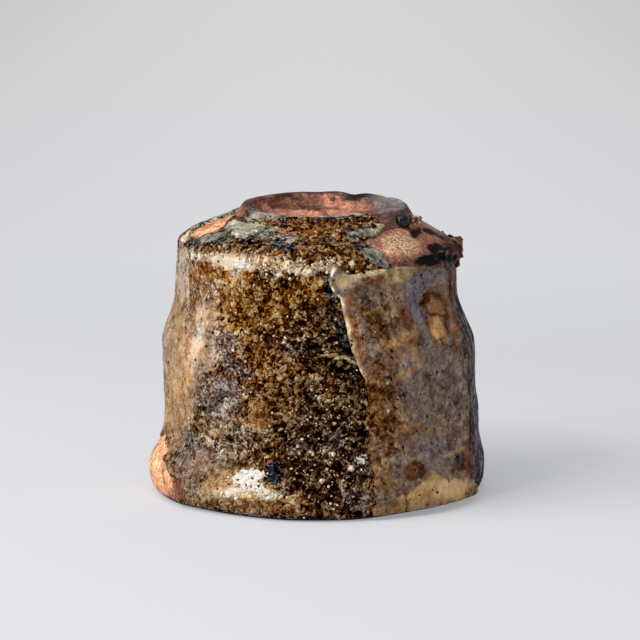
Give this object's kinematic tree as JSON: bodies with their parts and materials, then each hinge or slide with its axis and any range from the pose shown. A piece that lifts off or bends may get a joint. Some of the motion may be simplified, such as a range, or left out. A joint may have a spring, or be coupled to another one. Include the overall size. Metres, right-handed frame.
{
  "type": "guinomi sake cup",
  "caption": "Small faceted stoneware sake cup stood upside down, with a rolled lip, a lapped glaze seam and an off-centre carved foot ring.",
  "frame": {"origin": "centre of the cup's bounding box, on the surface that the lip stands on", "axes": "+Z from the lip up through the foot ring, -Y towards the pictured side, +X towards the crusted hip"},
  "size_m": [0.0657, 0.0661, 0.057],
  "materials": {
    "fired_clay": "matte bare iron-rich stoneware",
    "ring_clay": "matte stoneware with slate-grey fire flashing",
    "lining": "satin ash glaze",
    "amber_ash": "glossy speckled amber ash glaze",
    "straw_ash": "satin grey-lavender straw-ash glaze",
    "iron_slate": "satin dark iron glaze",
    "tan_roll": "glossy thick tan glaze",
    "celadon_ash": "glossy celadon ash pool",
    "crust": "rough scorched kiln crust",
    "slag": "mirror-black glass",
    "feldspar": "rough white feldspar"
  },
  "bodies": {
    "root": {"clay_body": "fired_clay", "foot_ring": "ring_clay", "lining_glaze": "lining", "amber_glaze": "amber_ash", "straw_glaze": "straw_ash", "iron_glaze": "iron_slate", "foot_glaze": "amber_ash", "lip_glaze_roll": "tan_roll", "ash_pools": "celadon_ash", "kiln_crust": "crust", "slag_bead": "slag", "feldspar_stones": "feldspar"}
  },
  "joints": []
}
